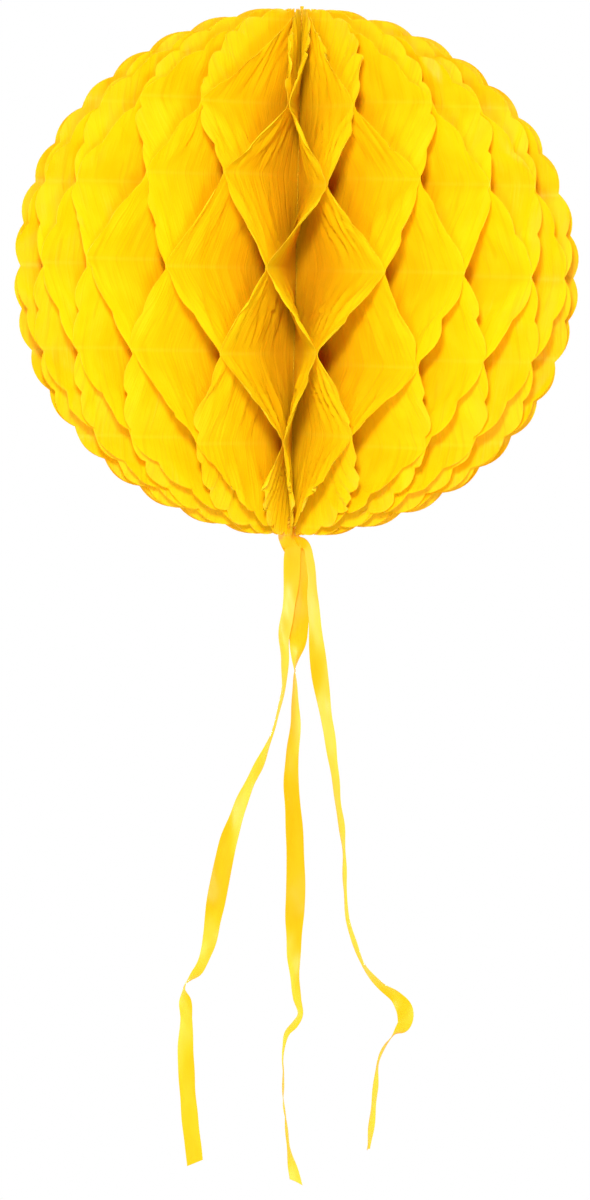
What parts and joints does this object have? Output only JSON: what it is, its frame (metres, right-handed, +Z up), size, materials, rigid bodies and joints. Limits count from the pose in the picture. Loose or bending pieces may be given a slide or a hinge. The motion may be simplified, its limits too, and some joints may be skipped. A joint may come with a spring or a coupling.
{
  "type": "paper honeycomb ball",
  "caption": "Round paper honeycomb ball made of glued tissue leaves with scalloped edges, with flat paper streamers below it; a party decoration that hangs from its top.",
  "frame": {"origin": "upper end of the thread at the upper pole, where the ball hangs", "axes": "+Z up along the ball's axis, -Y towards the front that the picture shows"},
  "size_m": [0.2986, 0.299, 0.6281],
  "materials": {
    "tissue": "thin matte tissue paper, lets light through",
    "streamer": "smooth paper strip with a soft sheen",
    "thread": "twisted thread"
  },
  "bodies": {
    "root": {"leaf_01": "tissue", "leaf_02": "tissue", "leaf_03": "tissue", "leaf_04": "tissue", "leaf_05": "tissue", "leaf_06": "tissue", "leaf_07": "tissue", "leaf_08": "tissue", "leaf_09": "tissue", "leaf_10": "tissue", "leaf_11": "tissue", "leaf_12": "tissue", "leaf_13": "tissue", "leaf_14": "tissue", "leaf_15": "tissue", "leaf_16": "tissue", "leaf_17": "tissue", "leaf_18": "tissue", "leaf_19": "tissue", "leaf_20": "tissue", "leaf_21": "tissue", "leaf_22": "tissue", "leaf_23": "tissue", "leaf_24": "tissue", "leaf_25": "tissue", "leaf_26": "tissue", "leaf_27": "tissue", "leaf_28": "tissue", "leaf_29": "tissue", "leaf_30": "tissue", "leaf_31": "tissue", "leaf_32": "tissue", "leaf_33": "tissue", "leaf_34": "tissue", "leaf_35": "tissue", "leaf_36": "tissue", "leaf_37": "tissue", "leaf_38": "tissue", "spine_thread": "thread", "streamer_left": "streamer", "streamer_centre": "streamer", "streamer_right": "streamer"}
  },
  "joints": []
}
